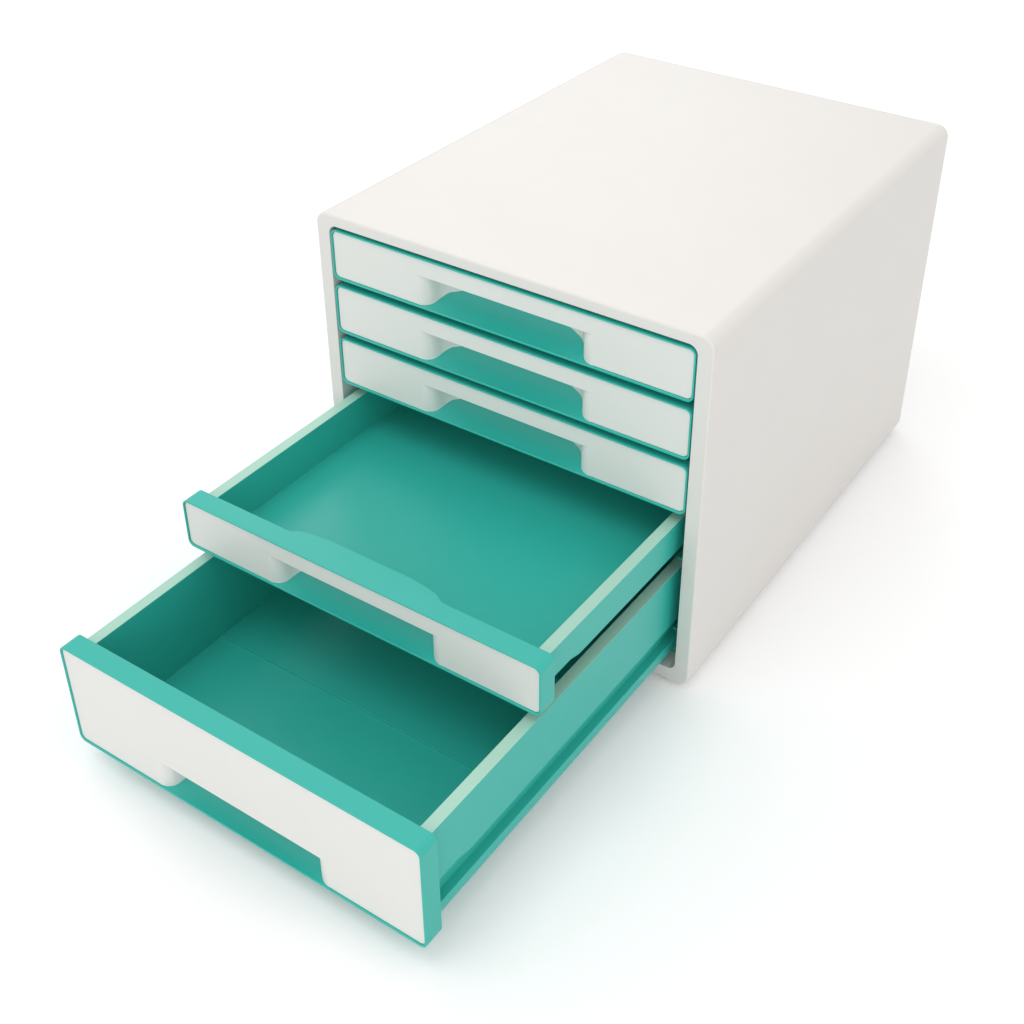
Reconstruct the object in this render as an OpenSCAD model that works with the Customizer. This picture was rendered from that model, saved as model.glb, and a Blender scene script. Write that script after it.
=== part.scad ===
// Desktop cabinet with five drawers: four shallow ones over a deep one.
// Sizes are in millimetres. The origin is on the table under the middle of the
// closed cabinet, the drawers open towards -Y and Z points up.

/* [Cabinet] */
// Depth of the casing from its front edge to its back
case_d = 363; // [340:1:420]
// Thickness of the moulded casing
shell_t = 2.5; // [2:0.1:3]
// Width of the white border at each side of the drawers
side_border = 10.2; // [9:0.1:16]
// Height of the white border above the top drawer
top_border = 7.6; // [7:0.1:16]
// Height of the white border under the bottom drawer
bottom_border = 10.2; // [9:0.1:16]
// Radius of the four long edges
edge_r = 8.4; // [6:0.1:9]
// Radius of the edges round the back
back_r = 9; // [7:0.1:11]
// Bevel round the front edge
front_bevel = 1.3; // [0.5:0.1:2]
// Distance that each side comes in towards the back
side_taper = 4.9; // [0:0.1:5]
// Distance that the top comes down towards the back
top_taper = 1.7; // [0:0.1:4]
// Radius of the front opening's corners
opening_r = 6; // [5:0.1:8]
// Depth of the wall that turns in round the front opening
return_d = 16; // [15:0.5:24]
// Thickness of that wall
return_t = 2; // [1.5:0.1:2]

/* [Drawer fronts] */
// Width of every drawer front
front_w = 265; // [250:1:300]
// Height of a shallow drawer's front
small_front_h = 35.6; // [35:0.1:44]
// Height of the deep drawer's front
big_front_h = 76.4; // [70:0.1:100]
// Gap between two fronts
front_gap = 4.4; // [4:0.1:6]
// Gap between a front and the border beside it
side_gap = 0.8; // [0.5:0.1:2]
// Gap above the top front
top_gap = 2.4; // [1:0.1:4]
// Gap under the bottom front
bottom_gap = 3.4; // [1:0.1:5]
// Depth of a front from its lip to its rear face
front_d = 14; // [12:0.5:15]
// Radius of a front's four corners
front_r = 4.5; // [3.5:0.1:5]
// Thickness of a front's outer frame behind the panel
frame_t = 3; // [2.5:0.1:4]
// Width of the coloured lip that shows round the panel
lip_w = 1.2; // [1:0.1:2]
// Height of that lip under the finger grip
grip_lip_h = 1.6; // [1.2:0.1:2.2]
// Depth of the panel's face behind the lip
recess = 1; // [0.5:0.1:1.5]
// Thickness of the white panel
panel_t = 1.8; // [1.5:0.1:2]
// Radius of the panel's corners
panel_r = 3.5; // [2.5:0.1:4]
// Clearance of the panel in its front
panel_fit = 0.15; // [0.1:0.05:0.2]

/* [Finger grip] */
// Half the width of the grip where its walls leave the panel
grip_half_w = 64; // [56:1:72]
// Depth of the grip behind the lip
grip_depth = 17; // [15:0.5:18]
// Height of the grip's mouth above the bottom of the front
grip_mouth = 22.4; // [19:0.1:24]
// Radius of the scoop at the bottom of the grip
scoop_r = 16; // [13:0.5:16]
// Radius of the side wall where it turns in from the panel
turn_in_r = 11; // [9:0.5:12]
// Angle that the side wall turns through
turn_angle = 50; // [45:1:60]
// Radius of the side wall where it meets the back of the grip
turn_out_r = 33.8; // [28:0.5:40]
// Height of the hollow above the mouth in the deep drawer
grip_top = 33; // [28:0.5:34]

/* [Trays] */
// Gap from a closed drawer's rear face to the screw bosses behind it
tray_back_gap = 5; // [2:0.5:20]
// Distance from the end of a front in to the rim of its tray
rim_inset = 5.3; // [5:0.1:8]
// Thickness of the tray's walls and floor
tray_t = 2; // [1.5:0.1:2.2]
// Width of the rim from the inside of the wall to its outer edge
rim_w = 7.7; // [7:0.1:8]
// Thickness of the rim and of the skirt that hangs from it
rim_t = 2; // [1.5:0.1:2.4]
// Drop from the top of a front to the rim behind it
rim_drop = 4; // [3:0.1:6]
// Height of a shallow tray's underside above the bottom of its front
small_under = 1; // [0.5:0.1:2]
// Height of a shallow tray's skirt above the bottom of its front
small_skirt = 8.4; // [8:0.1:10]
// Height of the deep tray's underside above the bottom of its front
big_under = 6.2; // [5:0.1:8]
// Height of the deep tray's skirt above the bottom of its front
big_skirt = 29.5; // [26:0.5:34]
// Height of the runner along the bottom of the deep tray
runner_h = 7.9; // [6:0.1:9]
// Amount that the skirt is shorter just behind the front
skirt_step = 2.8; // [2:0.1:4]
// Distance behind the lip where the short part of the skirt ends
step_start = 35; // [30:1:50]
// Length of the curve down to the full skirt
step_l = 14; // [8:1:20]
// Radius of the tray's rear corners
tray_r = 4; // [3:0.5:6]
// Height of the low rib across the deep drawer's floor
rib_h = 1.2; // [0.8:0.1:2]
// Width of that rib
rib_w = 1.6; // [1.2:0.1:3]
// Distance from the lip back to that rib
rib_y = 109; // [60:1:200]

/* [Rails] */
// Thickness of the rail frames' side plates
rail_t = 2.2; // [1.8:0.1:2.6]
// Thickness of a ledge that a drawer slides on
ledge_t = 3; // [2.5:0.1:3.5]
// Thickness of the rib that holds a drawer down
hold_t = 2.5; // [2:0.1:3]
// Running gap under and above each slide
slide_gap = 0.3; // [0.2:0.05:0.4]
// Gap between the ledges and the tray's walls
reach_gap = 0.7; // [0.5:0.1:1]
// Gap between a rail frame and the casing's side at the back
wall_gap = 0.3; // [0.2:0.1:0.5]
// Thickness of the foot wall under a rail frame
foot_wall_t = 2.5; // [2:0.1:3]
// Gap from the end of the rails to the screw bosses behind them
rail_end_gap = 0.5; // [0.3:0.1:4]
// Gap from the casing's roof down to the side plates
rail_top_gap = 7; // [6.5:0.5:7.5]
// Height of the side plates above the casing's floor
rail_bottom_gap = 5; // [5:0.5:8]

/* [Rear panel and feet] */
// Margin round the rear panel's recess in the casing's back
rear_margin = 12; // [11:0.5:16]
// Depth of that recess
rear_recess = 4; // [3.6:0.1:4.5]
// Width of the ledge that the rear panel lies on
rear_ledge_w = 8; // [8:0.5:12]
// Radius of the recess's corners
rear_r = 6; // [5:0.5:8]
// Thickness of the rear panel
rear_panel_t = 2; // [1.5:0.1:2]
// Gap round the rear panel
rear_gap = 0.3; // [0.2:0.05:0.5]
// Diameter of the screws that hold the rear panel
screw_d = 2.9; // [2.5:0.1:3]
// Diameter of the screw heads
screw_head_d = 5.6; // [5:0.1:6]
// Height of the screw heads
screw_head_h = 1.6; // [1.2:0.1:1.6]
// Length of the screws under the head
screw_l = 9; // [7:0.5:9]
// Diameter of the bosses that take the screws
boss_d = 7; // [6.5:0.1:8]
// Length of those bosses
boss_l = 9; // [9:0.5:12]
// Diameter of the rubber feet
foot_d = 16; // [12:0.5:20]
// Height that the feet stand out of the casing
foot_h = 3; // [2:0.1:5]
// Depth of the feet's seats in the casing
foot_seat = 1; // [0.5:0.1:1.2]
// Distance of each foot's centre from the casing's side
foot_inset_x = 31.5; // [28:0.5:60]
// Distance of each foot's centre from the casing's front or back
foot_inset_y = 24; // [22:0.5:60]

/* [Opening] */
// Distance that drawer 1, the top one, is open
open_1 = 0; // [0:1:270]
// Distance that drawer 2 is open
open_2 = 0; // [0:1:270]
// Distance that drawer 3 is open
open_3 = 0; // [0:1:270]
// Distance that drawer 4 is open
open_4 = 152.6; // [0:0.1:270]
// Distance that drawer 5, the deep one, is open
open_5 = 258.6; // [0:0.1:270]

/* [Hidden] */

// Overshoot of a cut past the surface that it opens
over = 1;
// Number of shallow drawers over the deep one
small_drawers = 4;
// Fineness of round parts, and of the casing's rounded edges
$fn = 48;
edge_fn = 32;
corner_cones = 6;
// Fineness of an arc drawn as points
arc_steps = 12;

white = [0.93, 0.92, 0.90];
panel_white = [0.90, 0.90, 0.88];
teal = [0.10, 0.66, 0.60];
rubber = [0.25, 0.25, 0.26];
steel = [0.70, 0.70, 0.72];

// Places of the fronts, counted from 1 at the top to drawers at the bottom
drawers = small_drawers + 1;
pitch = small_front_h + front_gap;
case_bottom = foot_h;
opening_bottom = case_bottom + bottom_border;
big_front_z = opening_bottom + bottom_gap;
function front_z(i) = i == drawers
    ? big_front_z
    : big_front_z + big_front_h + front_gap + (small_drawers - i) * pitch;
function front_h(i) = i == drawers ? big_front_h : small_front_h;
// Top of the air in a front's finger grip
function air_top(i) = i == drawers ? grip_top : small_front_h - tray_t;
opening_top = front_z(1) + small_front_h + top_gap;
case_top = opening_top + top_border;

// The casing's outline
case_front = -case_d / 2;
case_back = case_d / 2;
opening_w = front_w + 2 * side_gap;
case_half_w = opening_w / 2 + side_border;
back_half_w = case_half_w - side_taper;
back_top = case_top - top_taper;
case_floor = case_bottom + shell_t;
inner_back = case_back - shell_t;

// The rear panel's recess, its ledge and its screws
recess_y = case_back - rear_recess;
recess_half_w = back_half_w - rear_margin;
recess_z0 = case_bottom + rear_margin;
recess_z1 = back_top - rear_margin;
screw_x = recess_half_w - rear_ledge_w / 2;
screw_z = [recess_z0 + rear_ledge_w / 2, recess_z1 - rear_ledge_w / 2];
screw_places = [for (sx = [-1, 1], z = screw_z) [sx * screw_x, z]];
screw_head_y = recess_y + rear_panel_t;
boss_y = recess_y - boss_l;
hole_gap = 0.15;

// The panel and what stands behind it in a front
seat_y = recess + panel_t;
scoop_z = grip_lip_h + scoop_r;
scoop_y = grip_depth - scoop_r;

// The tray and its rails
drawer_l = boss_y - tray_back_gap - case_front;
rim_half_w = front_w / 2 - rim_inset;
inside_half_w = rim_half_w - rim_w;
tray_half_w = inside_half_w + tray_t;
skirt_half_w = rim_half_w - rim_t;
rail_out = back_half_w - shell_t - wall_gap;
rail_in = rail_out - rail_t;
rail_reach = tray_half_w + reach_gap;
rail_y0 = case_front + return_d;
rail_y1 = boss_y - rail_end_gap;
foot_wall_x = rail_reach + foot_wall_t / 2;

// ---- Plan of the finger grip: an S-shaped wall on each side ----
// The wall turns in round turn_in_c and out again round turn_out_c. Behind its
// face, at a distance t, the first arc is t tighter and the second t wider.
turn_in_c = [grip_half_w, recess + turn_in_r];
join = [
    turn_in_c[0] - turn_in_r * sin(turn_angle),
    turn_in_c[1] - turn_in_r * cos(turn_angle)
];
turn_out_c = [join[0] - turn_out_r * sin(turn_angle), grip_depth - turn_out_r];
// The second arc is cut short where it reaches the join
turn_out_start = asin((join[0] - turn_out_c[0]) / turn_out_r);

function wall_curve(t) = concat(
    [for (k = [0:arc_steps]) let (a = turn_angle * k / arc_steps)
        turn_in_c + (turn_in_r - t) * [-sin(a), -cos(a)]],
    [for (k = [1:arc_steps]) let (a = turn_out_start * (1 - k / arc_steps))
        turn_out_c + (turn_out_r + t) * [sin(a), cos(a)]]
);
function mirrored(points) = [for (p = points) [-p[0], p[1]]];
function reversed(points) = [for (k = [len(points) - 1:-1:0]) points[k]];

// The whole grip in plan, its walls moved outwards by t, from y0 back to y1
module grip_plan(t, y0, y1) {
    side = wall_curve(t);
    intersection() {
        polygon(concat(
            [[grip_half_w, y0]], side,
            reversed(mirrored(side)), [[-grip_half_w, y0]]
        ));
        translate([-2 * grip_half_w, y0]) square([4 * grip_half_w, y1 - y0]);
    }
}

// One white side wall in plan, from its face back by the panel's thickness
module side_wall_plan() {
    polygon(concat(wall_curve(0), reversed(wall_curve(panel_t))));
}

// The air over the scoop seen from the side, closer to the walls by gap
module scoop_profile(top, gap) {
    intersection() {
        union() {
            translate([-over, scoop_z]) square([over + grip_depth * 2, top - scoop_z]);
            translate([scoop_y, scoop_z]) circle(r = scoop_r - gap);
            translate([-over, grip_lip_h + gap])
                square([over + scoop_y, top - grip_lip_h - gap]);
        }
        translate([-over, 0]) square([over + grip_depth * 2, top]);
    }
}

// Lays a Y-Z outline across the cabinet over the width w
module across(w) {
    rotate([90, 0, 90]) translate([0, 0, -w / 2]) linear_extrude(w) children();
}

// An upright plate with round corners, from z0 to z1 and from y0 back to y1
module plate(half_w, z0, z1, r, y0, y1) {
    translate([0, y1, 0]) rotate([90, 0, 0]) linear_extrude(y1 - y0)
        rounded_rect(half_w, z0, z1, r);
}

module rounded_rect(half_w, z0, z1, r) {
    translate([-half_w, z0 + r]) square([2 * half_w, z1 - z0 - 2 * r]);
    translate([r - half_w, z0]) square([2 * (half_w - r), z1 - z0]);
    for (x = [-1, 1], z = [z0 + r, z1 - r])
        translate([x * (half_w - r), z]) circle(r = r);
}

// ---- Casing ----
// The casing's outline grown inwards by t, from the front plane y0 back. Each
// rear corner is a quarter of a ball, built from short cones.
module case_hull(t, y0, bevel) {
    hull() {
        for (sx = [-1, 1]) {
            for (z = [case_bottom + edge_r, case_top - edge_r])
                translate([sx * (case_half_w - edge_r), y0, z]) rotate([-90, 0, 0])
                    cylinder(h = bevel, r1 = edge_r - t - bevel, r2 = edge_r - t, $fn = edge_fn);
            for (z = [case_bottom + back_r, back_top - back_r])
                translate([sx * (back_half_w - back_r), case_back - back_r, z])
                    rotate([-90, 0, 0]) rear_corner(back_r - t);
        }
    }
}

module rear_corner(r) {
    step = 90 / corner_cones;
    for (a = [0:step:90 - step])
        translate([0, 0, r * sin(a)]) cylinder(
            h = r * (sin(a + step) - sin(a)),
            r1 = r * cos(a), r2 = r * cos(a + step), $fn = edge_fn
        );
}

module border_return() {
    difference() {
        plate(opening_w / 2 + return_t, opening_bottom - return_t, opening_top + return_t,
            opening_r + return_t, case_front + shell_t / 2, case_front + return_d);
        plate(opening_w / 2, opening_bottom, opening_top, opening_r,
            case_front - over, case_front + return_d + over);
    }
}

// The step in the back that the rear panel lies in
module rear_step() {
    difference() {
        plate(recess_half_w + shell_t, recess_z0 - shell_t, recess_z1 + shell_t,
            rear_r + shell_t, recess_y - shell_t, inner_back + shell_t / 2);
        plate(recess_half_w, recess_z0, recess_z1, rear_r, recess_y, case_back + over);
        plate(recess_half_w - rear_ledge_w, recess_z0 + rear_ledge_w,
            recess_z1 - rear_ledge_w, rear_r, boss_y, case_back + over);
    }
    for (p = screw_places)
        translate([p[0], recess_y, p[1]]) rotate([90, 0, 0]) cylinder(h = boss_l, d = boss_d);
}

module foot_places() {
    for (sx = [-1, 1], sy = [-1, 1]) foot_place(sx, sy) children();
}

module foot_place(sx, sy) {
    translate([sx * (case_half_w - foot_inset_x), sy * (case_d / 2 - foot_inset_y), 0])
        children();
}

module casing() {
    color(white) difference() {
        union() {
            difference() {
                case_hull(0, case_front, front_bevel);
                case_hull(shell_t, case_front + shell_t, front_bevel / 2);
                plate(opening_w / 2, opening_bottom, opening_top, opening_r,
                    case_front - over, case_front + shell_t + over);
                plate(recess_half_w, recess_z0, recess_z1, rear_r,
                    inner_back - over, case_back + over);
            }
            border_return();
            rear_step();
        }
        for (p = screw_places)
            translate([p[0], recess_y + over, p[1]]) rotate([90, 0, 0])
                cylinder(h = boss_l + 2 * over, d = screw_d + hole_gap);
        foot_places() translate([0, 0, case_bottom - over])
            cylinder(h = foot_seat + over, d = foot_d + hole_gap);
    }
}

module rear_panel() {
    color(white) difference() {
        plate(recess_half_w - rear_gap, recess_z0 + rear_gap, recess_z1 - rear_gap,
            rear_r - rear_gap, recess_y, screw_head_y);
        for (p = screw_places)
            translate([p[0], screw_head_y + over, p[1]]) rotate([90, 0, 0])
                cylinder(h = rear_panel_t + 2 * over, d = screw_d + 2 * hole_gap);
    }
}

module rear_panel_screws() {
    color(steel) for (p = screw_places)
        translate([p[0], screw_head_y, p[1]]) rotate([90, 0, 0]) {
            cylinder(h = screw_l, d = screw_d);
            translate([0, 0, -screw_head_h]) cylinder(h = screw_head_h, d = screw_head_d);
        }
}

module foot(sx, sy) {
    color(rubber) foot_place(sx, sy) cylinder(h = foot_h + foot_seat, d = foot_d);
}

// ---- Rails ----
// A bar along the rail frame from height z up by t, reaching in to the tray
module rail_bar(z, t) {
    translate([rail_reach, rail_y0, z]) cube([rail_in - rail_reach, rail_y1 - rail_y0, t]);
}

module rail_frame() {
    color(white) union() {
        translate([rail_in, rail_y0, case_floor + rail_bottom_gap])
            cube([rail_t, rail_y1 - rail_y0,
                back_top - rail_top_gap - shell_t - case_floor - rail_bottom_gap]);
        for (i = [1:small_drawers]) {
            rail_bar(front_z(i) + small_skirt - slide_gap - ledge_t, ledge_t);
            rail_bar(front_z(i) + small_front_h - rim_drop + slide_gap, hold_t);
        }
        rail_bar(big_front_z + big_under - slide_gap - ledge_t, ledge_t);
        rail_bar(big_front_z + big_under + runner_h + slide_gap, hold_t);
        rail_bar(big_front_z + big_front_h - rim_drop + slide_gap, hold_t);
        translate([foot_wall_x - foot_wall_t / 2, rail_y0, case_floor])
            cube([foot_wall_t, rail_y1 - rail_y0,
                big_front_z + big_under - slide_gap - ledge_t - case_floor]);
    }
}

module rail_right() { rail_frame(); }
module rail_left() { mirror([1, 0, 0]) rail_frame(); }

// ---- Drawers, each with its lip at y = 0 and its front's bottom at z = 0 ----
module opened(i, distance) {
    translate([0, case_front - distance, front_z(i)]) children();
}

// The front's frame with its rear wall, open where the panel goes
module front_frame(h) {
    difference() {
        plate(front_w / 2, 0, h, front_r, 0, front_d);
        plate(front_w / 2 - lip_w, grip_lip_h, h - lip_w, panel_r, -over, seat_y);
        plate(front_w / 2 - frame_t, frame_t, h - frame_t, panel_r,
            seat_y - over, front_d - tray_t);
    }
}

// The solid round the grip, up to the height top
module grip_body(top) {
    wall = panel_t + panel_fit + tray_t;
    linear_extrude(top)
        grip_plan(wall, seat_y, grip_depth + wall - panel_fit);
}

// The air inside the grip with the space for the panel's side walls
module grip_air(top) {
    intersection() {
        across(3 * grip_half_w) scoop_profile(top, 0);
        linear_extrude(top) {
            grip_plan(0, -over, grip_depth);
            for (sx = [0, 1]) mirror([sx, 0]) grip_wall_space();
        }
    }
    // the walls stand behind the scoop's rear face
    for (sx = [0, 1]) mirror([sx, 0, 0]) intersection() {
        linear_extrude(top) grip_wall_space();
        across(3 * grip_half_w) translate([grip_depth - over, scoop_z])
            square([grip_depth, top - scoop_z]);
    }
}

// Space in plan for one side wall of the panel, with its clearance
module grip_wall_space() {
    polygon(concat(
        [for (p = wall_curve(0)) p - [0, over]],
        reversed(wall_curve(panel_t + panel_fit))
    ));
}

// The skirt's outline from the side: shorter just behind the front
module skirt_outline(skirt_z, rim_z) {
    steps = 8;
    polygon(concat(
        [[front_d - tray_t, rim_z], [front_d - tray_t, skirt_z + skirt_step]],
        [for (k = [0:steps]) [
            step_start + step_l * k / steps,
            skirt_z + skirt_step * (1 + cos(180 * k / steps)) / 2
        ]],
        [[drawer_l, skirt_z], [drawer_l, rim_z]]
    ));
}

// The open tray behind a front, with its floor under the height floor_z
module tray(under, skirt_z, rim_z) {
    difference() {
        union() {
            tray_block(tray_half_w, front_d - tray_t, drawer_l, under, rim_z);
            tray_block(rim_half_w, front_d - tray_t, drawer_l, rim_z - rim_t, rim_z);
        }
        tray_block(inside_half_w, front_d, drawer_l - tray_t, under + tray_t, rim_z + over);
    }
    for (sx = [-1, 1])
        translate([sx * (skirt_half_w + rim_t / 2), 0, 0]) across(rim_t)
            skirt_outline(skirt_z, rim_z);
}

// A block with round rear corners
module tray_block(half_w, y0, y1, z0, z1) {
    translate([0, 0, z0]) linear_extrude(z1 - z0) union() {
        translate([-half_w, y0]) square([2 * half_w, y1 - y0 - tray_r]);
        translate([tray_r - half_w, y0]) square([2 * (half_w - tray_r), y1 - y0]);
        for (sx = [-1, 1])
            translate([sx * (half_w - tray_r), y1 - tray_r]) circle(r = tray_r);
    }
}

module small_drawer(i, distance) {
    color(teal) opened(i, distance) difference() {
        union() {
            front_frame(small_front_h);
            grip_body(small_front_h);
            tray(small_under, small_skirt, small_front_h - rim_drop);
        }
        grip_air(air_top(i));
    }
}

module big_drawer(i, distance) {
    color(teal) opened(i, distance) {
        difference() {
            union() {
                front_frame(big_front_h);
                grip_body(grip_top + tray_t);
                tray(big_under, big_skirt, big_front_h - rim_drop);
                for (sx = [-1, 1])
                    translate([sx * (tray_half_w + rim_half_w) / 2, 0, big_under])
                        across(rim_half_w - tray_half_w)
                            translate([front_d - tray_t, 0])
                                square([drawer_l - front_d + tray_t, runner_h]);
            }
            grip_air(air_top(i));
        }
        translate([-inside_half_w, rib_y, big_under + tray_t])
            cube([2 * inside_half_w, rib_w, rib_h]);
    }
}

// ---- White front panels ----
module front_panel(i, distance) {
    h = front_h(i);
    top = air_top(i);
    color(panel_white) opened(i, distance) {
        difference() {
            plate(front_w / 2 - lip_w - panel_fit, grip_lip_h + panel_fit,
                h - lip_w - panel_fit, panel_r, recess, seat_y);
            translate([-grip_half_w, 0, 0]) cube([2 * grip_half_w, 2 * seat_y, grip_mouth]);
        }
        for (sx = [0, 1]) mirror([sx, 0, 0]) intersection() {
            linear_extrude(top - panel_fit) side_wall_plan();
            across(3 * grip_half_w) scoop_profile(top, panel_fit);
        }
    }
}

module drawer_1() { small_drawer(1, open_1); }
module drawer_2() { small_drawer(2, open_2); }
module drawer_3() { small_drawer(3, open_3); }
module drawer_4() { small_drawer(4, open_4); }
module drawer_5() { big_drawer(5, open_5); }
module front_panel_1() { front_panel(1, open_1); }
module front_panel_2() { front_panel(2, open_2); }
module front_panel_3() { front_panel(3, open_3); }
module front_panel_4() { front_panel(4, open_4); }
module front_panel_5() { front_panel(5, open_5); }
module foot_front_left() { foot(-1, -1); }
module foot_front_right() { foot(1, -1); }
module foot_rear_left() { foot(-1, 1); }
module foot_rear_right() { foot(1, 1); }

casing();
rear_panel();
rear_panel_screws();
rail_left();
rail_right();
drawer_1();
drawer_2();
drawer_3();
drawer_4();
drawer_5();
front_panel_1();
front_panel_2();
front_panel_3();
front_panel_4();
front_panel_5();
foot_front_left();
foot_front_right();
foot_rear_left();
foot_rear_right();
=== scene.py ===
import math

import bmesh
import bpy
from mathutils import Euler, Matrix, Vector


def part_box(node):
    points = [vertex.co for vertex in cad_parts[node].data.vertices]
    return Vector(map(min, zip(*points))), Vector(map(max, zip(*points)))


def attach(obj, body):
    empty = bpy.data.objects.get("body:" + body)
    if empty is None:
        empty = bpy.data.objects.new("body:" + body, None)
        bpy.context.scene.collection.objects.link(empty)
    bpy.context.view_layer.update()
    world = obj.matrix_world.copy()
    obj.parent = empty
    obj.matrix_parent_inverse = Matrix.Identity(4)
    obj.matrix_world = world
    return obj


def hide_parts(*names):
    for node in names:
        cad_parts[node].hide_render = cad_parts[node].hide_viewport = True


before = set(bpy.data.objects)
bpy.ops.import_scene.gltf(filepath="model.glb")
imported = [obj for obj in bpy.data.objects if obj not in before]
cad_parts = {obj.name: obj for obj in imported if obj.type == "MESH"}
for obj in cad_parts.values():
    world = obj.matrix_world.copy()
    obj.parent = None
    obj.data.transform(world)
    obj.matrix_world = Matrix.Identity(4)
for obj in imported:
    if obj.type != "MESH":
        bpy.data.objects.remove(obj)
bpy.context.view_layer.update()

MM = 0.001


# ---- Casing ----
# The white outer shell: one injection moulding in polystyrene, 2.5 mm thick, with a
# wall that turns in round the drawers' opening and a stepped recess in its back that
# the rear panel lies in. Every other piece is carried by it.
casing_low, casing_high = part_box("casing")
CASE_HALF_W = casing_high.x
CASE_FRONT, CASE_BACK = casing_low.y, casing_high.y
CASE_BOTTOM, CASE_TOP = casing_low.z, casing_high.z
SHELL = 2.5 * MM
SIDE_TAPER, TOP_TAPER = 4.9 * MM, 1.7 * MM
EDGE_R, BACK_R, FRONT_ROUND = 8.4 * MM, 9 * MM, 1.3 * MM
SIDE_BORDER, TOP_BORDER, BOTTOM_BORDER = 10.2 * MM, 7.6 * MM, 10.2 * MM
OPENING_R, RETURN_DEPTH, RETURN_WALL = 6 * MM, 16 * MM, 2 * MM
REAR_MARGIN, REAR_RECESS, REAR_LEDGE, REAR_R = 12 * MM, 4 * MM, 8 * MM, 6 * MM
EDGE_SOFT, INSIDE_ROUND = 0.4 * MM, 1 * MM
SMALLEST_R = 0.2 * MM
CORNER_STEPS = 8
SHARPEST_SMOOTH = math.radians(32)
# points closer together than WELD become one, and one within NUDGE of a place is at it
WELD, CUT_WELD = 5e-6, 1e-6
NUDGE = 0.06 * MM

BACK_HALF_W = CASE_HALF_W - SIDE_TAPER
BACK_TOP = CASE_TOP - TOP_TAPER
OPENING_HALF_W = CASE_HALF_W - SIDE_BORDER
OPENING_BOTTOM, OPENING_TOP = CASE_BOTTOM + BOTTOM_BORDER, CASE_TOP - TOP_BORDER


def ring(mesh, box, level, flat=1):
    """A rectangle of edges with round corners, given as its half width, its two ends
    and its radius. It stands across the cabinet (flat=1) or lies level (flat=2). A
    level ring is a tray's outline, which is square and open at its front end."""
    half_w, low, high, radius = box
    corners = bmesh.ops.create_grid(mesh, x_segments=1, y_segments=1, size=1)["verts"]
    for corner in corners:
        across = half_w * corner.co.x
        end = high if corner.co.y > 0 else low
        corner.co = (across, level, end) if flat == 1 else (across, end, level)
    rest = set(mesh.faces) - {corners[0].link_faces[0]}
    front = [corner for corner in corners if flat == 1 or corner.co.y > low + radius]
    bmesh.ops.bevel(
        mesh, geom=front, offset=radius, offset_type="OFFSET", segments=CORNER_STEPS,
        profile=0.5, affect="VERTICES", material=-1,
    )
    face = (set(mesh.faces) - rest).pop()
    edges = face.edges[:]
    bmesh.ops.delete(mesh, geom=[face], context="FACES_ONLY")
    if flat == 2:
        open_end = [edge for edge in edges if all(vert.co.y < low + NUDGE for vert in edge.verts)]
        edges = [edge for edge in edges if edge not in open_end]
        bmesh.ops.delete(mesh, geom=open_end, context="EDGES")
    return edges


def extruded(mesh, edges):
    """Extrudes edges into a band of faces. Returns its far edges and its new vertices."""
    made = bmesh.ops.extrude_edge_only(mesh, edges=edges)["geom"]
    far = [part for part in made if isinstance(part, bmesh.types.BMEdge)
           and len(part.link_faces) == 1 and all(vert in made for vert in part.verts)]
    return far, [part for part in made if isinstance(part, bmesh.types.BMVert)]


def carried(point, old, new, flat):
    """Where a point of one ring lies on the next. It keeps its place in the turn of its
    corner, and a level ring's front end has no corners."""
    along = 3 - flat
    side = math.copysign(1, point.x)
    half_w, low, high, radius = old
    new_half_w, new_low, new_high, new_radius = new
    if point[along] > (low + high) / 2:
        end, old_edge, new_edge = 1, high, new_high
    elif flat == 2:
        return Vector((side * new_half_w, new_low))
    else:
        end, old_edge, new_edge = -1, low, new_low
    turn = Vector((point.x - side * (half_w - radius), point[along] - old_edge + end * radius))
    middle = Vector((side * (new_half_w - new_radius), new_edge - end * new_radius))
    return middle + turn * (new_radius / radius)


def skinned(mesh, path, flat=1, closed=False):
    """Draws the first ring of a path and extrudes it to each of the others in turn.
    Returns the edges of the first and the last."""
    box, level = path[0]
    first = edges = ring(mesh, box, level, flat)
    for new_box, level in path[1:] + path[:1] * closed:
        edges, verts = extruded(mesh, edges)
        for vert in verts:
            place = carried(vert.co, box, new_box, flat)
            vert.co = (place.x, level, place.y) if flat == 1 else (place.x, place.y, level)
        box = new_box
    return first, edges


def grown(box, distance):
    """A ring's half width, ends and radius, moved outwards."""
    half_w, low, high, radius = box
    return half_w + distance, low - distance, high + distance, max(radius + distance, SMALLEST_R)


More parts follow.
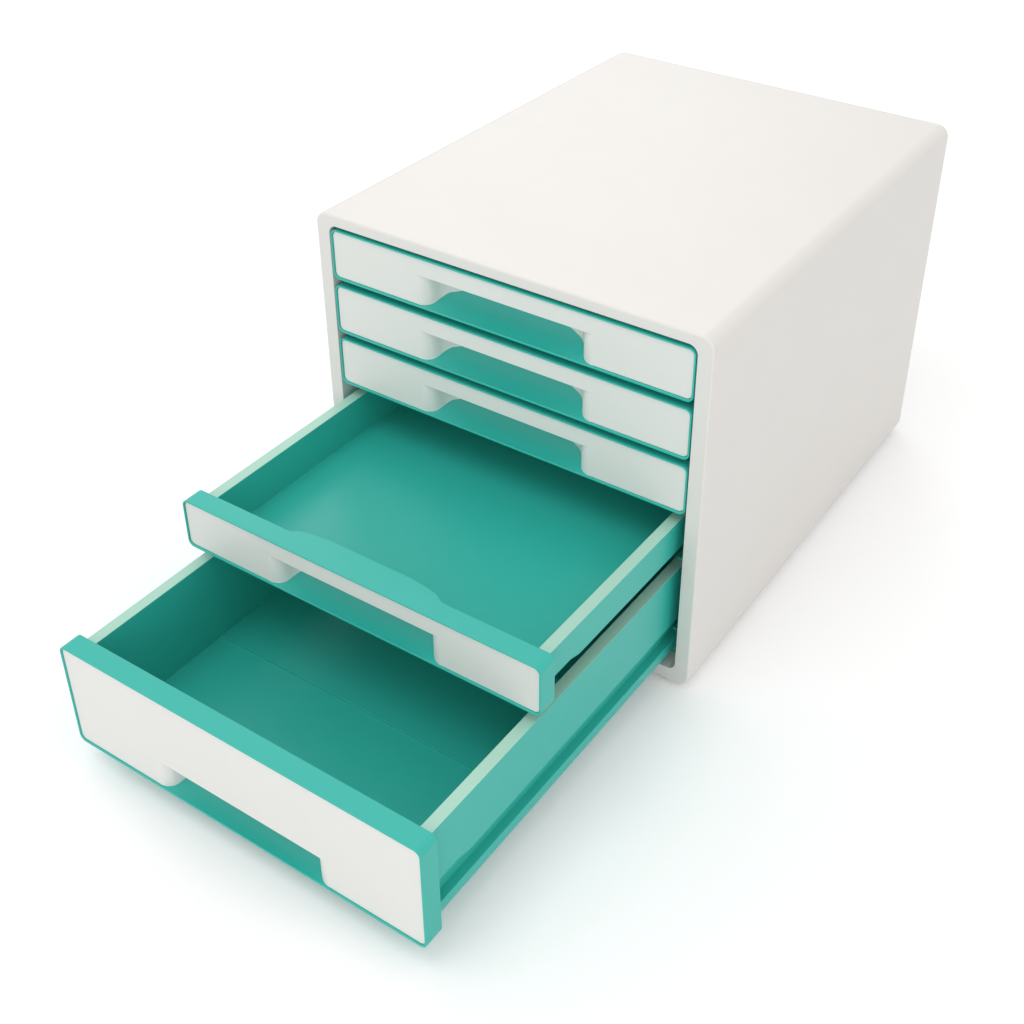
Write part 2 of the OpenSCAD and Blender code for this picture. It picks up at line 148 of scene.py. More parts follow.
def casing_mesh():
    """The casing as one closed skin, drawn from its front edge over the outside to the
    back and through the inside to the front again."""
    mesh = bmesh.new()
    outer_front = (CASE_HALF_W, CASE_BOTTOM, CASE_TOP, EDGE_R)
    outer_back = (BACK_HALF_W, CASE_BOTTOM, BACK_TOP, BACK_R)
    opening = (OPENING_HALF_W, OPENING_BOTTOM, OPENING_TOP, OPENING_R)
    recess = (BACK_HALF_W - REAR_MARGIN, CASE_BOTTOM + REAR_MARGIN, BACK_TOP - REAR_MARGIN, REAR_R)
    ledge = (*grown(recess, -REAR_LEDGE)[:3], REAR_R)
    turn_y = CASE_BACK - BACK_R
    step_y = CASE_BACK - REAR_RECESS
    path = []
    # the rounded front edge
    for degrees in (0, 30, 60, 90):
        turn = math.radians(degrees)
        inset = FRONT_ROUND * (1 - math.sin(turn))
        path.append((grown(outer_front, -inset), CASE_FRONT + FRONT_ROUND * (1 - math.cos(turn))))
    # the outside and the large rounding round the back
    for degrees in range(0, 91, 15):
        turn = math.radians(degrees)
        inset = BACK_R * (1 - math.cos(turn))
        path.append((grown(outer_back, -inset), turn_y + BACK_R * math.sin(turn)))
    # the recess in the back, with its ledge and the inner corner behind it
    path += [
        (grown(recess, EDGE_SOFT), CASE_BACK),
        (recess, CASE_BACK - EDGE_SOFT),
        (recess, step_y),
        (grown(ledge, EDGE_SOFT), step_y),
        (ledge, step_y - EDGE_SOFT),
        (ledge, step_y - SHELL),
        (grown(recess, SHELL - 0.1 * MM), step_y - SHELL),
        (grown(recess, SHELL), CASE_BACK - SHELL - 0.2 * MM),
    ]
    # the inside, forwards to the border
    inner_r = BACK_R - SHELL
    for degrees in range(75, -1, -15):
        turn = math.radians(degrees)
        inset = SHELL + inner_r * (1 - math.cos(turn))
        path.append((grown(outer_back, -inset), turn_y + inner_r * math.sin(turn)))
    path += [
        (grown(outer_front, -SHELL), CASE_FRONT + SHELL + INSIDE_ROUND),
        (grown(outer_front, -SHELL - INSIDE_ROUND), CASE_FRONT + SHELL),
        # the wall that turns in round the opening
        (grown(opening, RETURN_WALL + INSIDE_ROUND), CASE_FRONT + SHELL),
        (grown(opening, RETURN_WALL), CASE_FRONT + SHELL + INSIDE_ROUND),
        (grown(opening, RETURN_WALL), CASE_FRONT + RETURN_DEPTH - EDGE_SOFT),
        (grown(opening, RETURN_WALL - EDGE_SOFT), CASE_FRONT + RETURN_DEPTH),
        (grown(opening, EDGE_SOFT), CASE_FRONT + RETURN_DEPTH),
        (opening, CASE_FRONT + RETURN_DEPTH - EDGE_SOFT),
        # and the opening's rounded front edge
        (opening, CASE_FRONT + 1.5 * EDGE_SOFT),
        (grown(opening, 0.3 * EDGE_SOFT), CASE_FRONT + 0.5 * EDGE_SOFT),
        (grown(opening, 1.2 * EDGE_SOFT), CASE_FRONT),
    ]
    skinned(mesh, path, closed=True)
    return mesh


def plastic(name, colour, roughness):
    """Moulded plastic: a faint cloudiness in the colour, an uneven gloss, and the fine
    texture and slight waviness that the mould leaves."""
    made = bpy.data.materials.new(name)
    made.use_nodes = True
    nodes, links = made.node_tree.nodes, made.node_tree.links
    shader = nodes["Principled BSDF"]
    shader.inputs["IOR"].default_value = 1.5
    place = nodes.new("ShaderNodeTexCoord")

    def noise(scale, detail):
        pattern = nodes.new("ShaderNodeTexNoise")
        pattern.inputs["Scale"].default_value = scale
        pattern.inputs["Detail"].default_value = detail
        links.new(place.outputs["Object"], pattern.inputs["Vector"])
        return pattern.outputs["Fac"]

    def spread(value, middle, width):
        mapped = nodes.new("ShaderNodeMapRange")
        mapped.inputs["To Min"].default_value = middle - width
        mapped.inputs["To Max"].default_value = middle + width
        links.new(value, mapped.inputs["Value"])
        return mapped.outputs["Result"]

    def bumps(value, strength, distance):
        bump = nodes.new("ShaderNodeBump")
        bump.inputs["Strength"].default_value = strength
        bump.inputs["Distance"].default_value = distance
        links.new(value, bump.inputs["Height"])
        return bump

    coloured = nodes.new("ShaderNodeVectorMath")
    coloured.operation = "SCALE"
    coloured.inputs[0].default_value = colour
    links.new(spread(noise(14, 4), 1, 0.02), coloured.inputs["Scale"])
    links.new(coloured.outputs["Vector"], shader.inputs["Base Color"])
    links.new(spread(noise(60, 6), roughness, 0.05), shader.inputs["Roughness"])
    texture = bumps(noise(1400, 3), 0.08, 0.05 * MM)
    waviness = bumps(noise(22, 1), 0.12, 0.3 * MM)
    links.new(texture.outputs["Normal"], waviness.inputs["Normal"])
    links.new(waviness.outputs["Normal"], shader.inputs["Normal"])
    return made


def piece(name, mesh, body, slot, replaced, *finishes):
    """Makes a finished object of a mesh, for the solid that it is shown in place of."""
    bmesh.ops.remove_doubles(mesh, verts=mesh.verts, dist=WELD)
    bmesh.ops.recalc_face_normals(mesh, faces=mesh.faces)
    for face in mesh.faces:
        face.smooth = True
    for edge in mesh.edges:
        edge.smooth = edge.calc_face_angle(0) < SHARPEST_SMOOTH
    data = bpy.data.meshes.new(name)
    mesh.to_mesh(data)
    mesh.free()
    for finish in finishes:
        data.materials.append(finish)
    made = bpy.data.objects.new(name, data)
    bpy.context.scene.collection.objects.link(made)
    shading = made.modifiers.new("even_shading", "WEIGHTED_NORMAL")
    shading.keep_sharp = True
    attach(made, body)
    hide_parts(replaced)


shell_white = plastic("shell_white", (0.80, 0.775, 0.74), 0.42)
piece("casing_shell", casing_mesh(), "casing", "shell_white", "casing", shell_white)


# ---- Rear panel ----
# The plate that closes the casing's back: a flat moulding 2 mm thick with soft edges,
# which lies on the ledge of the recess and is held there by its four screws.
plate_low, plate_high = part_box("rear_panel")
PLATE_SOFT, PLATE_GAP = 0.5 * MM, 0.3 * MM
plate_outline = (plate_high.x, plate_low.z, plate_high.z, REAR_R - PLATE_GAP)
plate = bmesh.new()
plate_path = [
    (grown(plate_outline, -0.3 * PLATE_SOFT), plate_low.y),
    (plate_outline, plate_low.y + 0.3 * PLATE_SOFT),
    (plate_outline, plate_high.y - PLATE_SOFT),
    (grown(plate_outline, -0.3 * PLATE_SOFT), plate_high.y - 0.3 * PLATE_SOFT),
    (grown(plate_outline, -PLATE_SOFT), plate_high.y),
]
for edges in skinned(plate, plate_path):
    bmesh.ops.contextual_create(plate, geom=edges)
piece("rear_panel_plate", plate, "casing", "shell_white", "rear_panel", shell_white)


# ---- Rear panel screws ----
# Four pan-head screws in bright steel with a cross recess. They pass through the rear
# panel's corners into the casing.
screws_low, screws_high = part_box("rear_panel_screws")
HEAD_R, HEAD_H = 2.8 * MM, 1.6 * MM
SHANK_R, SHANK_L, POINT_R, POINT_L = 1.45 * MM, 8 * MM, 0.7 * MM, 1 * MM
CROSS_W, CROSS_L, CROSS_DEPTH, CROSS_FLAT = 0.7 * MM, 2.5 * MM, 1 * MM, 1.75 * MM
TURN_SIDES = 32


def turned(mesh, steps):
    """A body turned about the Z axis. Each step is a radius and a height. Returns the
    edges of the first ring and of the last."""
    radius, height = steps[0]
    made = bmesh.ops.create_circle(mesh, cap_ends=False, segments=TURN_SIDES, radius=radius)
    bmesh.ops.translate(mesh, vec=(0, 0, height), verts=made["verts"])
    first = edges = list({edge for vert in made["verts"] for edge in vert.link_edges})
    for new_radius, height in steps[1:]:
        edges, verts = extruded(mesh, edges)
        for vert in verts:
            scale = new_radius / radius
            vert.co = (vert.co.x * scale, vert.co.y * scale, height)
        radius = new_radius
    return first, edges


def added(mesh, other):
    """Adds a mesh to another as a shell of its own."""
    data = bpy.data.meshes.new("part")
    other.to_mesh(data)
    other.free()
    mesh.from_mesh(data)
    bpy.data.meshes.remove(data)


def screw_mesh():
    """A screw that stands on its head's underside, at z = 0, with its point down."""
    mesh = bmesh.new()
    cross = bmesh.ops.create_grid(mesh, x_segments=3, y_segments=3, size=CROSS_L / 2)["verts"]
    middles = {face: face.calc_center_median() for face in mesh.faces}
    corners = [face for face, middle in middles.items()
               if min(abs(middle.x), abs(middle.y)) > CROSS_W / 2]
    bmesh.ops.delete(mesh, geom=corners, context="FACES")
    for vert in cross:
        for axis in (0, 1):
            if vert.is_valid and abs(vert.co[axis]) < CROSS_L / 3:
                vert.co[axis] = math.copysign(CROSS_W / 2, vert.co[axis])
    bmesh.ops.translate(mesh, vec=(0, 0, HEAD_H - CROSS_DEPTH), verts=mesh.verts)
    rim, raised = extruded(mesh, [edge for edge in mesh.edges if edge.is_boundary])
    bmesh.ops.translate(mesh, vec=(0, 0, CROSS_DEPTH), verts=raised)
    flat, point = turned(mesh, [
        (CROSS_FLAT, HEAD_H), (0.84 * HEAD_R, 0.92 * HEAD_H), (0.96 * HEAD_R, 0.7 * HEAD_H),
        (HEAD_R, 0.35 * HEAD_H), (HEAD_R, 0), (SHANK_R, 0), (SHANK_R, -SHANK_L),
        (POINT_R, -SHANK_L - POINT_L),
    ])
    bmesh.ops.triangle_fill(mesh, edges=rim + flat, use_beauty=True)
    bmesh.ops.contextual_create(mesh, geom=point)
    return mesh


steel = plastic("screw_steel", (0.62, 0.62, 0.63), 0.3)
steel.node_tree.nodes["Principled BSDF"].inputs["Metallic"].default_value = 1
screws = bmesh.new()
for x in (screws_low.x + HEAD_R, screws_high.x - HEAD_R):
    for z in (screws_low.z + HEAD_R, screws_high.z - HEAD_R):
        screw = screw_mesh()
        bmesh.ops.rotate(screw, matrix=Matrix.Rotation(math.radians(-90), 3, "X"), verts=screw.verts)
        bmesh.ops.translate(screw, vec=(x, screws_high.y - HEAD_H, z), verts=screw.verts)
        added(screws, screw)
piece("rear_screws", screws, "casing", "screw_steel", "rear_panel_screws", steel)


# ---- Feet ----
# Four black rubber discs with a rounded lower edge and a slightly hollow underside. Each
# is pushed into a shallow seat under the casing and stands 3 mm proud of it.
foot_rubber = plastic("foot_rubber", (0.05, 0.05, 0.052), 0.75)
FOOT_SOFT, FOOT_RIM, FOOT_SLOPE, FOOT_HOLLOW = 1 * MM, 0.6 * MM, 0.4 * MM, 0.4 * MM
for corner in ("front_left", "front_right", "rear_left", "rear_right"):
    foot_low, foot_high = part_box(f"foot_{corner}")
    radius = (foot_high.x - foot_low.x) / 2
    foot = bmesh.new()
    rim_r = radius - FOOT_SOFT - FOOT_RIM
    steps = [(rim_r - FOOT_SLOPE, foot_low.z + FOOT_HOLLOW), (rim_r, foot_low.z)]
    for degrees in (0, 30, 60, 90):
        turn = math.radians(degrees)
        inset, rise = FOOT_SOFT * (1 - math.sin(turn)), FOOT_SOFT * (1 - math.cos(turn))
        steps.append((radius - inset, foot_low.z + rise))
    steps.append((radius, foot_high.z))
    for edges in turned(foot, steps):
        bmesh.ops.contextual_create(foot, geom=edges)
    middle = (foot_low + foot_high) / 2
    bmesh.ops.translate(foot, vec=(middle.x, middle.y, 0), verts=foot.verts)
    piece(f"foot_{corner}_disc", foot, "casing", "foot_rubber", f"foot_{corner}", foot_rubber)


# ---- Rails ----
# A moulded frame in the drawers' teal plastic stands inside each wall of the casing. Its
# ledges carry the drawers' skirts and its ribs hold their rims down. Its solid has the
# right shape as it is.
TEAL, TEAL_ROUGHNESS = (0.034, 0.485, 0.41), 0.36
rail_teal = plastic("rail_teal", TEAL, TEAL_ROUGHNESS)
for side in ("left", "right"):
    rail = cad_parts[f"rail_{side}"].data
    rail.materials.clear()
    rail.materials.append(rail_teal)


# ---- Drawers ----
# Each drawer is one moulding in teal polystyrene: a front with a lip round the place
# for its panel and a scooped finger grip, and an open tray behind it. A rim runs along
# both sides of the tray, with a skirt hanging from it that slides on the rails.
FRONT_HALF_W, FRONT_DEPTH, FRONT_R = 132.5 * MM, 14 * MM, 4.5 * MM
LIP, GRIP_LIP, PANEL_R, SEAT = 1.2 * MM, 1.6 * MM, 3.5 * MM, 2.95 * MM
SCOOP_R, SCOOP_START = 16 * MM, 1 * MM
GRIP_HALF_W, GRIP_DEPTH = 65 * MM, 17 * MM
TURN_IN_R, TURN_BACK_R = 11 * MM, 10 * MM
TURN, RUN_OUT = math.radians(70), math.radians(12)
PANEL_T, PANEL_FIT, WALL = 1.8 * MM, 0.15 * MM, 2 * MM
TRAY_HALF_W, INSIDE_HALF_W, RIM_HALF_W = 121.5 * MM, 119.5 * MM, 127.2 * MM
SKIRT_HALF_W, RIM_T, RIM_DROP = 125.2 * MM, 2 * MM, 4 * MM
TRAY_START, TRAY_LENGTH, TRAY_R = 12.8 * MM, 345 * MM, 4 * MM
STEP_START, STEP_LENGTH, STEP_HEIGHT = 35 * MM, 14 * MM, 2.8 * MM
RIB_Y, RIB_W, RIB_H = 109 * MM, 1.6 * MM, 1.2 * MM
BACK_ROUND, LIP_ROUND, SEAT_ROUND, BULGE_ROUND = 0.6 * MM, 0.5 * MM, 0.3 * MM, 0.3 * MM
BULGE_RIM, AIR_ROUND = 0.05 * MM, 0.2 * MM
TRAY_SOFT, RIB_SOFT = 0.5 * MM, 0.3 * MM
GRIP_STEPS, SCOOP_STEPS, HEM_STEPS = 7, 10, 8
FLAT_ENOUGH = math.radians(0.5)


def grip_wall(behind):
    """Plan of the grip's right wall, at a distance behind its white face: it turns in
    from the panel, back in a tight curve, and runs out in a wide one to the grip's
    back."""
    def heading(angle):
        return Vector((math.sin(angle), math.cos(angle)))

    def arc(centre, radius, start, end):
        angles = [start + (end - start) * k / GRIP_STEPS for k in range(GRIP_STEPS + 1)]
        return [centre + radius * heading(angle) for angle in angles]

    centre = Vector((GRIP_HALF_W, SCOOP_START + TURN_IN_R))
    points = arc(centre, behind - TURN_IN_R, 0, TURN)
    centre = centre - (TURN_IN_R + TURN_BACK_R) * heading(TURN)
    points += arc(centre, TURN_BACK_R + behind, TURN, RUN_OUT)[1:]
    still_back = GRIP_DEPTH - centre.y - TURN_BACK_R * math.cos(RUN_OUT)
    run_out_r = still_back / (1 - math.cos(RUN_OUT))
    centre = centre + (TURN_BACK_R - run_out_r) * heading(RUN_OUT)
    return points + arc(centre, run_out_r + behind, RUN_OUT, 0)[1:]


def depth_at(x, wall):
    """How far back a grip wall's plan lies at the distance x from the middle."""
    x = abs(x)
    for near, far in zip(wall, wall[1:]):
        if far.x <= x <= near.x:
            return near.y + (far.y - near.y) * (near.x - x) / max(near.x - far.x, 1e-9)
    return wall[-1].y if x < wall[-1].x else wall[0].y


def cut(mesh, faces, point, normal):
    """Cuts some faces with a plane and returns them all, with the new ones."""
    edges = {edge for face in faces for edge in face.edges}
    verts = {vert for face in faces for vert in face.verts}
    made = bmesh.ops.bisect_plane(
        mesh, geom=[*faces, *edges, *verts], dist=CUT_WELD, plane_co=point, plane_no=normal,
    )
    return [part for part in made["geom"] if isinstance(part, bmesh.types.BMFace)]


def front_mesh(height, bulge_top, air_top):
    """A drawer's front, its lip at y = 0 and its bottom at z = 0."""
    mesh = bmesh.new()
    outside = (FRONT_HALF_W, 0, height, FRONT_R)
    inside = (FRONT_HALF_W - LIP, GRIP_LIP, height - LIP, PANEL_R)
    # from the back over the outside and the lip into the panel's seat
    path = [
        (grown(outside, -BACK_ROUND), FRONT_DEPTH),
        (grown(outside, -0.17 * MM), FRONT_DEPTH - 0.17 * MM),
        (outside, FRONT_DEPTH - BACK_ROUND),
        (outside, LIP_ROUND),
        (grown(outside, -0.3 * LIP_ROUND), 0.3 * LIP_ROUND),
        (grown(outside, -0.9 * LIP_ROUND), 0),
        (grown(inside, SEAT_ROUND), 0),
        (inside, SEAT_ROUND),
        (inside, SEAT),
    ]
    first, last = skinned(mesh, path)
    bmesh.ops.contextual_create(mesh, geom=first)
    seat = bmesh.ops.contextual_create(mesh, geom=last)["faces"][0]

    # the bulge that stands into the tray behind the scoop
    wall = grip_wall(PANEL_T + PANEL_FIT + WALL)
    low_bulge = bulge_top < height - 2 * MM
    faces = [face for face in mesh.faces if abs(face.normal.x) < 0.5
             and face.calc_center_median().y > FRONT_DEPTH / 2]
    if low_bulge:
        faces = [face for face in faces if face.calc_center_median().z < height - MM]
        for z in (bulge_top, bulge_top - BULGE_ROUND, bulge_top - BULGE_RIM):
            faces = cut(mesh, faces, (0, 0, z), (0, 0, 1))
    for point in wall:
        if point.y > FRONT_DEPTH - 2 * MM:
            for side in (-1, 1):
                faces = cut(mesh, faces, (side * point.x, 0, 0), (1, 0, 0))
    for vert in {vert for face in faces for vert in face.verts}:
        above = low_bulge and vert.co.z > bulge_top - NUDGE / 2
        if above or vert.co.y < FRONT_DEPTH - MM:
            continue
        depth = max(depth_at(vert.co.x, wall) - FRONT_DEPTH, 0)
        if abs(vert.co.z - bulge_top + BULGE_RIM) < BULGE_RIM / 5:
            depth = max(depth - BULGE_ROUND, 0)
        vert.co.y += depth

    # the scoop: cut the seat in columns and rows, and press each point back
    wall = grip_wall(PANEL_T + PANEL_FIT)
    end = grip_wall(0)[-1].x
    columns = [point.x for point in wall if point.x > end + MM] + [end + NUDGE, end]
    rows = []
    for k in range(1, SCOOP_STEPS + 1):
        rows.append(GRIP_LIP + SCOOP_R * (1 - math.cos(math.radians(90) * k / SCOOP_STEPS)))
    rows.append(air_top - AIR_ROUND)
    faces = cut(mesh, [seat], (0, 0, air_top), (0, 0, 1))
    faces = [face for face in faces if face.calc_center_median().z < air_top]
    for x in columns:
        for side in (-1, 1):
            faces = cut(mesh, faces, (side * x, 0, 0), (1, 0, 0))
    faces = [face for face in faces if abs(face.calc_center_median().x) < GRIP_HALF_W]
    for z in rows:
        faces = cut(mesh, faces, (0, 0, z), (0, 0, 1))
    for vert in {vert for face in faces for vert in face.verts}:
        x, _, z = vert.co
        if abs(x) > GRIP_HALF_W - NUDGE or z > air_top - NUDGE:
            continue
        below = min(max(GRIP_LIP + SCOOP_R - z, 0), SCOOP_R)
        scoop = SCOOP_START + math.sqrt(SCOOP_R ** 2 - below ** 2)
        limit = depth_at(x, wall)
        if abs(x) <= end + NUDGE / 2:
            limit = GRIP_DEPTH
        elif below == 0:
            scoop = limit
        vert.co.y = min(scoop, limit)
    return mesh


def pushed(mesh, faces, move):
    """Extrudes some faces by a vector and returns the moved faces."""
    made = bmesh.ops.extrude_face_region(mesh, geom=faces)["geom"]
    moved = [part for part in made if isinstance(part, bmesh.types.BMVert)]
    bmesh.ops.translate(mesh, vec=move, verts=moved)
    bmesh.ops.delete(mesh, geom=faces, context="FACES")
    return [part for part in made if isinstance(part, bmesh.types.BMFace)]


def tray_mesh(under, skirt, rim, runner):
    """The open tray behind a front, with its rims, its skirts and any runners."""
    mesh = bmesh.new()
    outer = (TRAY_HALF_W, TRAY_START, TRAY_LENGTH, TRAY_R)
    inner = (INSIDE_HALF_W, TRAY_START, TRAY_LENGTH - WALL, TRAY_R - WALL)
    path = [(outer, under), (outer, rim - RIM_T), (outer, rim), (inner, rim), (inner, under + WALL)]
    if runner:
        path.insert(1, (outer, under + runner))
    for chain in skinned(mesh, path, flat=2):
        ends = [vert for edge in chain for vert in edge.verts if vert.co.y < TRAY_START + NUDGE]
        chain.append(mesh.edges.new(sorted(set(ends), key=lambda vert: vert.co.x)))
        bmesh.ops.contextual_create(mesh, geom=chain)
    front = [edge for edge in mesh.edges if edge.is_boundary]
    bmesh.ops.contextual_create(mesh, geom=front)
    bmesh.ops.recalc_face_normals(mesh, faces=mesh.faces)

    def side_faces(side, low, high):
        return [face for face in mesh.faces
                if face.normal.x * side > 0.99
                and abs(face.calc_center_median().x - side * TRAY_HALF_W) < NUDGE
                and low < face.calc_center_median().z < high]

    for side in (-1, 1):
        out = Vector((side * (RIM_HALF_W - TRAY_HALF_W), 0, 0))
        if runner:
            pushed(mesh, side_faces(side, under, under + runner), out)
        pushed(mesh, side_faces(side, rim - RIM_T, rim), out)
        strip = [face for face in mesh.faces
                 if abs(face.calc_center_median().z - rim + RIM_T) < NUDGE
                 and face.calc_center_median().x * side > TRAY_HALF_W]
        strip = cut(mesh, strip, (side * SKIRT_HALF_W, 0, 0), (1, 0, 0))
        strip = [face for face in strip if face.calc_center_median().x * side > SKIRT_HALF_W]
        for k in range(HEM_STEPS + 1):
            y = STEP_START + STEP_LENGTH * k / HEM_STEPS
            strip = cut(mesh, strip, (0, y, 0), (0, 1, 0))
        hem = pushed(mesh, strip, Vector((0, 0, skirt - rim + RIM_T)))
        for vert in {vert for face in hem for vert in face.verts}:
            along = min(max((vert.co.y - STEP_START) / STEP_LENGTH, 0), 1)
            vert.co.z += STEP_HEIGHT * (1 + math.cos(math.pi * along)) / 2
    return mesh


def softened(mesh, width):
    """Rounds every sharp edge of a mesh slightly, as a mould does."""
    bmesh.ops.remove_doubles(mesh, verts=mesh.verts, dist=CUT_WELD)
    bmesh.ops.dissolve_limit(
        mesh, angle_limit=FLAT_ENOUGH, verts=mesh.verts, edges=mesh.edges,
    )
    sharp = [edge for edge in mesh.edges if edge.calc_face_angle(0) > SHARPEST_SMOOTH]
    bmesh.ops.bevel(
        mesh, geom=sharp, offset=width, offset_type="OFFSET", segments=2,
        profile=0.5, affect="EDGES", clamp_overlap=True, material=-1,
    )


def rib_mesh(under):
    """The low rib across the deep drawer's floor."""
    mesh = bmesh.new()
    bmesh.ops.create_cube(mesh, size=1)
    bmesh.ops.scale(mesh, vec=(2 * INSIDE_HALF_W + MM, RIB_W, 2 * RIB_H), verts=mesh.verts)
    bmesh.ops.translate(mesh, vec=(0, RIB_Y + RIB_W / 2, under + WALL), verts=mesh.verts)
    softened(mesh, RIB_SOFT)
    return mesh


teal = plastic("drawer_teal", TEAL, TEAL_ROUGHNESS)
# painted sheen: a paler teal for the rim tops, in place of light reflected off them; the plastic is
# the drawers' teal throughout
painted_sheen_teal = plastic("drawer_rim_painted_sheen", (0.42, 0.69, 0.57), 0.3)
SMALL = {"height": 35.6, "bulge": 35.6, "air": 33.6, "under": 1.0, "skirt": 8.4, "runner": 0}
DEEP = {"height": 76.4, "bulge": 35.0, "air": 33.0, "under": 6.2, "skirt": 29.5, "runner": 7.9}


def size_of(number):
    """The heights of a drawer's parts over the bottom of its front, in metres."""
    return {key: value * MM for key, value in (DEEP if number == 5 else SMALL).items()}


for number in range(1, 6):
    name = f"drawer_{number}"
    size = size_of(number)
    rim = size["height"] - RIM_DROP
    moulding = front_mesh(size["height"], size["bulge"], size["air"])
    tray = tray_mesh(size["under"], size["skirt"], rim, size["runner"])
    softened(tray, TRAY_SOFT)
    added(moulding, tray)
    if size["runner"]:
        added(moulding, rib_mesh(size["under"]))
    moulding.normal_update()
    # painted sheen: the rim tops get a paler teal than the rest of the same plastic, standing in for
    # the light behind glinting on them
    for face in moulding.faces:
        middle = face.calc_center_median()
        if abs(middle.z - rim) < 0.3 * MM and middle.y > FRONT_DEPTH and face.normal.z > 0.6:
            face.material_index = 1
    low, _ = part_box(name)
    bmesh.ops.translate(moulding, vec=(0, low.y, low.z), verts=moulding.verts)
    piece(f"{name}_moulding", moulding, name, "drawer_teal", name, teal, painted_sheen_teal)


# ---- Front panels ----
# A white panel is pressed into each front. Under its middle it leaves the mouth of the
# grip free, and on both sides of the mouth it curls back to line the scoop.
PANEL_FACE, PANEL_SOFT = 1 * MM, 0.35 * MM
MOUTH = 22.4 * MM


def scoop_height(y):
    """Height of the scoop's surface at the depth y, with the panel's clearance."""
    run = min(max(y - SCOOP_START, 0), SCOOP_R - PANEL_FIT)
    return GRIP_LIP + SCOOP_R - math.sqrt((SCOOP_R - PANEL_FIT) ** 2 - run ** 2)


def panel_mesh(height, air_top):
    """The panel's white face, as a sheet that is given its thickness afterwards."""
    mesh = bmesh.new()
    bottom = GRIP_LIP + PANEL_FIT
    outline = (FRONT_HALF_W - LIP - PANEL_FIT, bottom, height - LIP - PANEL_FIT, PANEL_R)
    edges = ring(mesh, outline, PANEL_FACE)
    faces = bmesh.ops.contextual_create(mesh, geom=edges)["faces"]
    faces = cut(mesh, faces, (0, 0, MOUTH), (0, 0, 1))
    lower = [face for face in faces if face.calc_center_median().z < MOUTH]
    for side in (-1, 1):
        lower = cut(mesh, lower, (side * GRIP_HALF_W, 0, 0), (1, 0, 0))
    mouth = [face for face in lower if abs(face.calc_center_median().x) < GRIP_HALF_W / 2]
    bmesh.ops.delete(mesh, geom=mouth, context="FACES")
    strip = [face for face in mesh.faces if face.calc_center_median().z > MOUTH]
    for side in (-1, 1):
        strip = cut(mesh, strip, (side * (GRIP_HALF_W - PANEL_T), 0, 0), (1, 0, 0))
    wall = grip_wall(0)
    for side in (-1, 1):
        last = [edge for edge in mesh.edges if edge.is_boundary
                and all(abs(vert.co.x - side * GRIP_HALF_W) < NUDGE for vert in edge.verts)
                and edge.calc_length() > 10 * MM]
        for point in wall[1:]:
            last, verts = extruded(mesh, last)
            for vert in verts:
                vert.co.x, vert.co.y = side * point.x, point.y
                if vert.co.z < MOUTH - NUDGE:
                    vert.co.z = scoop_height(point.y)
        # behind the panel the wall goes on up to the top of the hollow
        lid = [edge for edge in mesh.edges if edge.is_boundary
               and all(abs(vert.co.z - MOUTH) < NUDGE and vert.co.x * side > 0
                       and vert.co.y > PANEL_FACE + PANEL_T for vert in edge.verts)]
        for vert in extruded(mesh, lid)[1]:
            vert.co.z = air_top - PANEL_FIT
    # the edges that the mould rounds: the outline and the mouth's upper edge
    rounded = mesh.edges.layers.float.new("bevel_weight_edge")
    for edge in mesh.edges:
        across = abs(edge.verts[0].co.x + edge.verts[1].co.x) / 2
        in_face = all(vert.co.y < PANEL_FACE + NUDGE for vert in edge.verts)
        beside_mouth = GRIP_HALF_W - PANEL_T < across < GRIP_HALF_W + NUDGE
        if edge.is_boundary and in_face and not beside_mouth:
            edge[rounded] = 1
    bmesh.ops.recalc_face_normals(mesh, faces=mesh.faces)
    front = max(mesh.faces, key=lambda face: face.calc_area())
    if front.normal.y > 0:
        bmesh.ops.reverse_faces(mesh, faces=mesh.faces)
    return mesh


panel_white = plastic("panel_white", (0.80, 0.802, 0.77), 0.40)
for number in range(1, 6):
    name = f"front_panel_{number}"
    size = size_of(number)
    insert = panel_mesh(size["height"], size["air"])
    low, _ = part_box(f"drawer_{number}")
    bmesh.ops.translate(insert, vec=(0, low.y, low.z), verts=insert.verts)
    for face in insert.faces:
        face.smooth = True
    data = bpy.data.meshes.new(name)
    insert.to_mesh(data)
    insert.free()
    data.materials.append(panel_white)
    made = bpy.data.objects.new(f"{name}_insert", data)
    bpy.context.scene.collection.objects.link(made)
    thick = made.modifiers.new("thickness", "SOLIDIFY")
    thick.thickness = PANEL_T
    thick.offset = -1
    thick.use_even_offset = True
    soft = made.modifiers.new("soft_edges", "BEVEL")
    soft.width = PANEL_SOFT
    soft.segments = 2
    soft.limit_method = "WEIGHT"
    shading = made.modifiers.new("even_shading", "WEIGHTED_NORMAL")
    shading.keep_sharp = True
    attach(made, f"drawer_{number}")
    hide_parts(name)


# ---- Floor, light and camera ----
# A plain pale table top, three soft round lamps, over the cabinet, in front of it and
# behind it, and a white surround.
floor_mesh = bmesh.new()
bmesh.ops.create_grid(floor_mesh, x_segments=1, y_segments=1, size=12)
floor_data = bpy.data.meshes.new("floor")
floor_mesh.to_mesh(floor_data)
floor_mesh.free()
floor = bpy.data.objects.new("floor", floor_data)
bpy.context.scene.collection.objects.link(floor)
floor_finish = bpy.data.materials.new("floor_white")
floor_finish.use_nodes = True
nodes, links = floor_finish.node_tree.nodes, floor_finish.node_tree.links
shader = nodes["Principled BSDF"]
shader.inputs["Base Color"].default_value = (0.93, 0.93, 0.93, 1)
shader.inputs["Roughness"].default_value = 0.9
shader.inputs["Specular IOR Level"].default_value = 0.1
